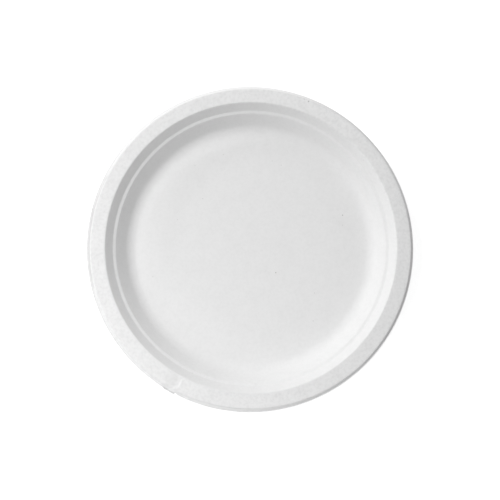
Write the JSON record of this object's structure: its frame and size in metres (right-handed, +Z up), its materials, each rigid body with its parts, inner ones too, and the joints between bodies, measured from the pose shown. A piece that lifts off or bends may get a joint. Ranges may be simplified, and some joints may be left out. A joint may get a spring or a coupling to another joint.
{
  "type": "paper plate",
  "caption": "Round dinner plate pressed from white paper pulp, with a crowned floor, a stacking ledge in its wall, a sloping rim and a turned-down edge.",
  "frame": {"origin": "centre of the plate in the plane of the table it stands on", "axes": "+Z up along the plate's axis, out of its open side; +X to the right and +Y to the top of the picture"},
  "size_m": [0.26, 0.26, 0.02],
  "materials": {
    "pulp": "matte"
  },
  "bodies": {
    "root": {"plate": "pulp"}
  },
  "joints": []
}
